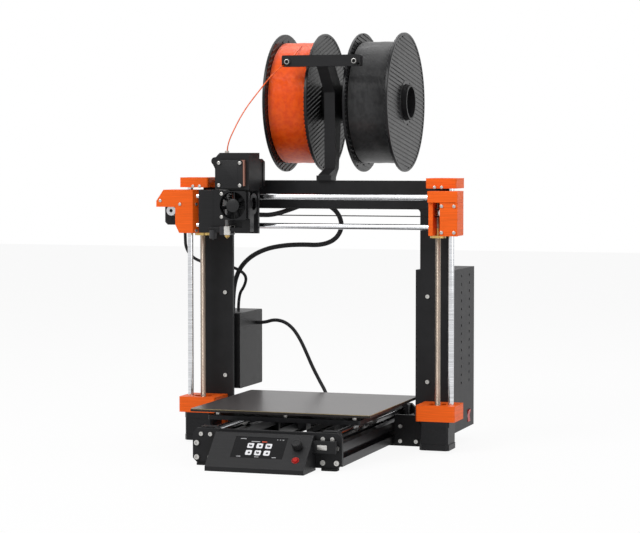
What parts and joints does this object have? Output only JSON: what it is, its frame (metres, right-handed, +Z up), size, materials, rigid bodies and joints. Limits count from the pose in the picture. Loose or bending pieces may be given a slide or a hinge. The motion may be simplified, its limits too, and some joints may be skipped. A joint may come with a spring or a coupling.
{
  "type": "fdm printer",
  "caption": "Open-frame filament printer with a sliding bed, a lifting gantry with a print head, a display unit and twin spools on a holder.",
  "frame": {"origin": "on the table under the middle of the whole machine, taken without its loose lines", "axes": "+Z up, +Y away from the display unit towards the spools, +X to the right along the gantry"},
  "size_m": [0.4444, 0.4954, 0.5875],
  "materials": {
    "black_steel": "satin powder coat",
    "anodised": "black anodised",
    "chrome": "polished",
    "steel": "turned",
    "motor_black": "satin",
    "orange_plastic": "printed layers",
    "black_plastic": "printed layers",
    "dark_plastic": "moulded",
    "belt_rubber": "matt",
    "rubber": "matt",
    "cable": "woven sleeve",
    "sheet": "fine powder coat",
    "heatbed": "circuit board",
    "aluminium": "turned",
    "brass": "turned",
    "screen": "glass front",
    "red_plastic": "moulded",
    "orange_filament": "wound strand",
    "black_filament": "wound strand"
  },
  "bodies": {
    "frame": {"frame_plate": "black_steel", "extrusions": "anodised", "end_plates": "black_steel", "rubber_feet": "rubber", "frame_screws": "steel", "y_rods": "chrome", "y_holders": "black_plastic", "base_motors": "motor_black", "y_belt": "belt_rubber", "z_brackets": "orange_plastic", "z_rods": "chrome", "psu_case": "black_steel", "electronics_case": "black_plastic", "lcd_housing": "black_plastic", "lcd_screen": "screen", "usb_stick": "dark_plastic", "spool_holder": "black_plastic", "filament": "orange_filament", "head_cable": "cable", "x_motor_cable": "cable", "bed_cable": "cable"},
    "bed": {"y_carriage": "aluminium", "y_bearings": "steel", "heatbed": "heatbed", "bed_standoffs": "steel", "print_sheet": "sheet"},
    "gantry": {"x_end_motor": "orange_plastic", "x_end_idler": "orange_plastic", "x_rods": "chrome", "x_motor": "motor_black", "x_belt": "belt_rubber", "z_bearings": "steel", "leadscrew_nuts": "brass"},
    "head": {"x_carriage": "black_plastic", "x_bearings": "steel", "extruder_body": "black_plastic", "gear_cover": "black_plastic", "extruder_motor": "motor_black", "hotend": "aluminium", "nozzle": "brass", "fan_frame": "dark_plastic", "blower_housing": "dark_plastic"},
    "spool_left": {"spool_left": "dark_plastic", "winding_left": "orange_filament"},
    "spool_right": {"spool_right": "dark_plastic", "winding_right": "black_filament"},
    "leadscrew_left": {"leadscrew_left": "steel"},
    "leadscrew_right": {"leadscrew_right": "steel"},
    "x_pulley": {"x_pulley": "aluminium"},
    "x_idler": {"x_idler": "aluminium"},
    "y_pulley": {"y_pulley": "aluminium"},
    "y_idler": {"y_idler": "aluminium"},
    "fan_rotor": {"fan_rotor": "dark_plastic"},
    "blower_rotor": {"blower_rotor": "dark_plastic"},
    "drive_gear": {"drive_gear": "steel"},
    "idler_lever": {"idler_lever": "black_plastic"},
    "encoder_shaft": {"encoder_shaft": "steel"},
    "knob": {"knob": "dark_plastic"},
    "reset_button": {"reset_button": "red_plastic"},
    "psu_rocker": {"psu_rocker": "red_plastic"}
  },
  "joints": [
    {"name": "bed_slide", "type": "slide", "parent": "frame", "child": "bed", "axis": [0, 1, 0], "range_m": [-0.074, 0.136], "deforming": ["bed_cable"]},
    {"name": "gantry_lift", "type": "slide", "parent": "frame", "child": "gantry", "axis": [0, 0, 1], "range_m": [-0.225, 0], "deforming": ["filament", "head_cable", "x_motor_cable"]},
    {"name": "head_slide", "type": "slide", "parent": "gantry", "child": "head", "axis": [1, 0, 0], "range_m": [-0.002, 0.241], "deforming": ["filament", "head_cable"]},
    {"name": "leadscrew_left_turn", "type": "hinge", "parent": "frame", "child": "leadscrew_left", "pos_m": [-0.15875, 0.02125, 0.0435], "axis": [0, 0, 1], "continuous": true},
    {"name": "leadscrew_right_turn", "type": "hinge", "parent": "frame", "child": "leadscrew_right", "pos_m": [0.18925, 0.02125, 0.0435], "axis": [0, 0, 1], "continuous": true},
    {"name": "x_pulley_turn", "type": "hinge", "parent": "gantry", "child": "x_pulley", "pos_m": [-0.20075, 0.00825, 0.3315], "axis": [0, 1, 0], "continuous": true},
    {"name": "x_idler_turn", "type": "hinge", "parent": "gantry", "child": "x_idler", "pos_m": [0.20125, 0.00825, 0.3315], "axis": [0, 1, 0], "continuous": true},
    {"name": "y_pulley_turn", "type": "hinge", "parent": "frame", "child": "y_pulley", "pos_m": [0.01525, 0.12825, 0.026], "axis": [1, 0, 0], "continuous": true},
    {"name": "y_idler_turn", "type": "hinge", "parent": "frame", "child": "y_idler", "pos_m": [0.01525, -0.17375, 0.026], "axis": [1, 0, 0], "continuous": true},
    {"name": "spool_left_spin", "type": "hinge", "parent": "frame", "child": "spool_left", "pos_m": [-0.01125, 0.14725, 0.487], "axis": [1, 0, 0], "continuous": true},
    {"name": "spool_right_spin", "type": "hinge", "parent": "frame", "child": "spool_right", "pos_m": [0.04175, 0.14725, 0.487], "axis": [1, 0, 0], "continuous": true},
    {"name": "fan_spin", "type": "hinge", "parent": "head", "child": "fan_rotor", "pos_m": [-0.08575, -0.05275, 0.341], "axis": [0, 1, 0], "continuous": true},
    {"name": "blower_spin", "type": "hinge", "parent": "head", "child": "blower_rotor", "pos_m": [-0.06275, -0.02675, 0.343], "axis": [1, 0, 0], "continuous": true},
    {"name": "drive_gear_turn", "type": "hinge", "parent": "head", "child": "drive_gear", "pos_m": [-0.08925, -0.02375, 0.3844], "axis": [0, 1, 0], "continuous": true},
    {"name": "idler_lever_turn", "type": "hinge", "parent": "head", "child": "idler_lever", "pos_m": [-0.11475, -0.02375, 0.37], "axis": [0, -1, 0], "range_deg": [0, 12], "stiffness_Nm_per_rad": 0.5, "springref_deg": -5.73},
    {"name": "encoder_push", "type": "slide", "parent": "frame", "child": "encoder_shaft", "axis": [0, 0.6897, -0.7241], "range_m": [0, 0.0008], "stiffness_N_per_m": 600, "springref_m": -0.0005},
    {"name": "knob_turn", "type": "hinge", "parent": "encoder_shaft", "child": "knob", "pos_m": [0.06625, -0.22023, 0.03221], "axis": [0, -0.6897, 0.7241], "continuous": true},
    {"name": "reset_push", "type": "slide", "parent": "frame", "child": "reset_button", "axis": [0, 0.6897, -0.7241], "range_m": [0, 0.001], "stiffness_N_per_m": 500, "springref_m": -0.0005},
    {"name": "rocker_turn", "type": "hinge", "parent": "frame", "child": "psu_rocker", "pos_m": [0.20095, 0.1475, 0.036], "axis": [0, 1, 0], "range_deg": [0, 8]}
  ],
  "couplings": [
    {"joint": "leadscrew_left_turn", "follows": "gantry_lift", "rad_per_m": 785.4},
    {"joint": "leadscrew_right_turn", "follows": "gantry_lift", "rad_per_m": 785.4},
    {"joint": "x_pulley_turn", "follows": "head_slide", "rad_per_m": 196.08},
    {"joint": "x_idler_turn", "follows": "head_slide", "rad_per_m": 196.08},
    {"joint": "y_pulley_turn", "follows": "bed_slide", "rad_per_m": -196.08},
    {"joint": "y_idler_turn", "follows": "bed_slide", "rad_per_m": -196.08}
  ]
}
